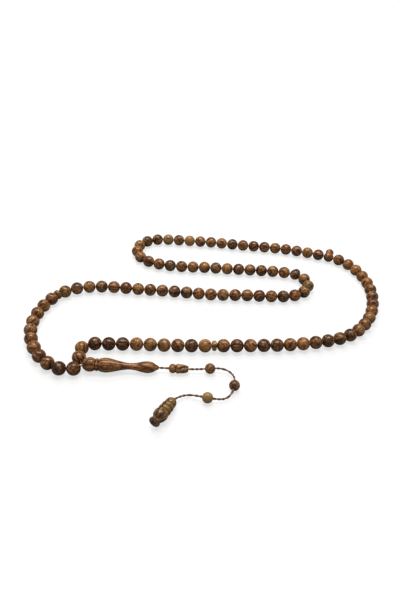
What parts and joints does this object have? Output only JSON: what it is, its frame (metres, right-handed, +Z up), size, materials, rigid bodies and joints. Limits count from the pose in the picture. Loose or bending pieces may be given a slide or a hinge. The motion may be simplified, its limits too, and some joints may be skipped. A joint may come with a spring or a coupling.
{
  "type": "misbaha prayer beads",
  "caption": "String of round wooden prayer beads with discs and lobed markers, a turned imame and a small beaded tassel with a carved finial.",
  "frame": {"origin": "the middle of the laid-out string's outline, on the surface that it lies on", "axes": "+X along the front row of beads, nearly along the imame from its head to its tip, +Y across the rows away from the tassel, +Z up"},
  "size_m": [0.2388, 0.1892, 0.0088],
  "materials": {
    "dark_wood": "oiled and polished",
    "turned_wood": "polished",
    "light_wood": "polished",
    "string_cord": "waxed cord",
    "twisted_cord": "twisted two-ply cord"
  },
  "bodies": {
    "string": {"loop_cord": "string_cord", "right_run_beads": "dark_wood", "middle_run_beads": "dark_wood", "left_run_beads": "dark_wood"},
    "opening_bead_01": {"opening_bead_01": "dark_wood"},
    "opening_bead_02": {"opening_bead_02": "dark_wood"},
    "opening_bead_03": {"opening_bead_03": "dark_wood"},
    "opening_bead_04": {"opening_bead_04": "dark_wood"},
    "opening_bead_05": {"opening_bead_05": "dark_wood"},
    "opening_bead_06": {"opening_bead_06": "dark_wood"},
    "opening_bead_07": {"opening_bead_07": "dark_wood"},
    "opening_bead_08": {"opening_bead_08": "dark_wood"},
    "opening_bead_09": {"opening_bead_09": "dark_wood"},
    "opening_bead_10": {"opening_bead_10": "dark_wood"},
    "opening_bead_11": {"opening_bead_11": "dark_wood"},
    "closing_bead_01": {"closing_bead_01": "dark_wood"},
    "closing_bead_02": {"closing_bead_02": "dark_wood"},
    "closing_bead_03": {"closing_bead_03": "dark_wood"},
    "closing_bead_04": {"closing_bead_04": "dark_wood"},
    "closing_bead_05": {"closing_bead_05": "dark_wood"},
    "closing_bead_06": {"closing_bead_06": "dark_wood"},
    "closing_bead_07": {"closing_bead_07": "dark_wood"},
    "closing_bead_08": {"closing_bead_08": "dark_wood"},
    "closing_bead_09": {"closing_bead_09": "dark_wood"},
    "closing_bead_10": {"closing_bead_10": "dark_wood"},
    "closing_bead_11": {"closing_bead_11": "dark_wood"},
    "first_disc": {"first_disc": "dark_wood"},
    "first_marker": {"first_marker": "dark_wood"},
    "second_marker": {"second_marker": "dark_wood"},
    "second_disc": {"second_disc": "dark_wood"},
    "imame": {"imame": "turned_wood", "imame_strands": "string_cord"},
    "tassel": {"tassel_cord": "twisted_cord"},
    "barrel_bead": {"barrel_bead": "turned_wood"},
    "tassel_bead_1": {"tassel_bead_1": "dark_wood"},
    "tassel_bead_2": {"tassel_bead_2": "dark_wood"},
    "tassel_bead_3": {"tassel_bead_3": "light_wood"},
    "finial": {"finial": "turned_wood", "finial_cord": "twisted_cord", "finial_knot": "twisted_cord"}
  },
  "joints": [
    {"name": "imame_swing", "type": "hinge", "parent": "string", "child": "imame", "pos_m": [-0.0803, -0.04805, 0.00476], "axis": [0, 0, 1], "range_deg": [-20, 5]},
    {"name": "tassel_swing", "type": "hinge", "parent": "imame", "child": "tassel", "pos_m": [-0.03639, -0.05043, 0.00324], "axis": [0, 0, 1], "range_deg": [-50, 8]},
    {"name": "barrel_bead_slide", "type": "slide", "parent": "tassel", "child": "barrel_bead", "axis": [0.9975, -0.0696, -0.0097], "range_m": [-0.003, 0.003]},
    {"name": "finial_swing", "type": "hinge", "parent": "tassel", "child": "finial", "pos_m": [-0.0285, -0.0757, 0.0033], "axis": [0, 0, 1], "range_deg": [-30, 30]},
    {"name": "tassel_bead_1_turn", "type": "hinge", "parent": "tassel", "child": "tassel_bead_1", "pos_m": [-0.00617, -0.05168, 0.00319], "axis": [0.9973, 0.0665, 0.0308], "continuous": true},
    {"name": "tassel_bead_2_turn", "type": "hinge", "parent": "tassel", "child": "tassel_bead_2", "pos_m": [0.00664, -0.06554, 0.00319], "axis": [-0.2196, -0.975, 0.0351], "continuous": true},
    {"name": "tassel_bead_3_turn", "type": "hinge", "parent": "tassel", "child": "tassel_bead_3", "pos_m": [-0.00958, -0.07453, 0.00316], "axis": [-0.9705, 0.2372, 0.0431], "continuous": true},
    {"name": "first_marker_turn", "type": "hinge", "parent": "string", "child": "first_marker", "pos_m": [0.09564, 0.06705, 0.00417], "axis": [-0.9208, 0.3901, 0], "continuous": true},
    {"name": "second_marker_turn", "type": "hinge", "parent": "string", "child": "second_marker", "pos_m": [0.06436, 0.04335, 0.00417], "axis": [0.8802, -0.4746, 0], "continuous": true},
    {"name": "first_disc_turn", "type": "hinge", "parent": "string", "child": "first_disc", "pos_m": [-0.00201, -0.03289, 0.00417], "axis": [0.9999, -0.0127, 0], "continuous": true},
    {"name": "second_disc_turn", "type": "hinge", "parent": "string", "child": "second_disc", "pos_m": [-0.10301, 0.01973, 0.00417], "axis": [-0.6859, -0.7277, 0], "continuous": true},
    {"name": "opening_bead_01_turn", "type": "hinge", "parent": "string", "child": "opening_bead_01", "pos_m": [-0.08306, -0.04187, 0.00417], "axis": [-0.3472, 0.9378, 0], "continuous": true},
    {"name": "opening_bead_02_turn", "type": "hinge", "parent": "string", "child": "opening_bead_02", "pos_m": [-0.08212, -0.03355, 0.00417], "axis": [0.5467, 0.8373, 0], "continuous": true},
    {"name": "opening_bead_03_turn", "type": "hinge", "parent": "string", "child": "opening_bead_03", "pos_m": [-0.07466, -0.02972, 0.00417], "axis": [0.999, -0.0439, 0], "continuous": true},
    {"name": "opening_bead_04_turn", "type": "hinge", "parent": "string", "child": "opening_bead_04", "pos_m": [-0.06629, -0.03012, 0.00417], "axis": [0.9986, -0.0523, 0], "continuous": true},
    {"name": "opening_bead_05_turn", "type": "hinge", "parent": "string", "child": "opening_bead_05", "pos_m": [-0.05792, -0.03036, 0.00417], "axis": [1, -0.0054, 0], "continuous": true},
    {"name": "opening_bead_06_turn", "type": "hinge", "parent": "string", "child": "opening_bead_06", "pos_m": [-0.04954, -0.03064, 0.00417], "axis": [0.9981, -0.061, 0], "continuous": true},
    {"name": "opening_bead_07_turn", "type": "hinge", "parent": "string", "child": "opening_bead_07", "pos_m": [-0.04118, -0.03122, 0.00417], "axis": [0.997, -0.077, 0], "continuous": true},
    {"name": "opening_bead_08_turn", "type": "hinge", "parent": "string", "child": "opening_bead_08", "pos_m": [-0.03282, -0.03182, 0.00417], "axis": [0.9978, -0.0669, 0], "continuous": true},
    {"name": "opening_bead_09_turn", "type": "hinge", "parent": "string", "child": "opening_bead_09", "pos_m": [-0.02445, -0.0323, 0.00417], "axis": [0.9989, -0.0469, 0], "continuous": true},
    {"name": "opening_bead_10_turn", "type": "hinge", "parent": "string", "child": "opening_bead_10", "pos_m": [-0.01608, -0.03261, 0.00417], "axis": [0.9996, -0.0274, 0], "continuous": true},
    {"name": "opening_bead_11_turn", "type": "hinge", "parent": "string", "child": "opening_bead_11", "pos_m": [-0.0077, -0.0328, 0.00417], "axis": [0.9999, -0.0166, 0], "continuous": true},
    {"name": "closing_bead_01_turn", "type": "hinge", "parent": "string", "child": "closing_bead_01", "pos_m": [-0.1064, 0.01515, 0.00417], "axis": [-0.5612, -0.8277, 0], "continuous": true},
    {"name": "closing_bead_02_turn", "type": "hinge", "parent": "string", "child": "closing_bead_02", "pos_m": [-0.11044, 0.00781, 0.00417], "axis": [-0.3989, -0.917, 0], "continuous": true},
    {"name": "closing_bead_03_turn", "type": "hinge", "parent": "string", "child": "closing_bead_03", "pos_m": [-0.11325, -0.00008, 0.00417], "axis": [-0.2715, -0.9625, 0], "continuous": true},
    {"name": "closing_bead_04_turn", "type": "hinge", "parent": "string", "child": "closing_bead_04", "pos_m": [-0.1149, -0.0083, 0.00417], "axis": [-0.1202, -0.9927, 0], "continuous": true},
    {"name": "closing_bead_05_turn", "type": "hinge", "parent": "string", "child": "closing_bead_05", "pos_m": [-0.11499, -0.01668, 0.00417], "axis": [0.0996, -0.995, 0], "continuous": true},
    {"name": "closing_bead_06_turn", "type": "hinge", "parent": "string", "child": "closing_bead_06", "pos_m": [-0.11337, -0.0249, 0.00417], "axis": [0.2835, -0.959, 0], "continuous": true},
    {"name": "closing_bead_07_turn", "type": "hinge", "parent": "string", "child": "closing_bead_07", "pos_m": [-0.11049, -0.03277, 0.00417], "axis": [0.4043, -0.9146, 0], "continuous": true},
    {"name": "closing_bead_08_turn", "type": "hinge", "parent": "string", "child": "closing_bead_08", "pos_m": [-0.10634, -0.04005, 0.00417], "axis": [0.5791, -0.8152, 0], "continuous": true},
    {"name": "closing_bead_09_turn", "type": "hinge", "parent": "string", "child": "closing_bead_09", "pos_m": [-0.10061, -0.04616, 0.00417], "axis": [0.7768, -0.6297, 0], "continuous": true},
    {"name": "closing_bead_10_turn", "type": "hinge", "parent": "string", "child": "closing_bead_10", "pos_m": [-0.09357, -0.05071, 0.00417], "axis": [0.8937, -0.4487, 0], "continuous": true},
    {"name": "closing_bead_11_turn", "type": "hinge", "parent": "string", "child": "closing_bead_11", "pos_m": [-0.08522, -0.05104, 0.00417], "axis": [0.9263, 0.3768, 0], "continuous": true}
  ]
}
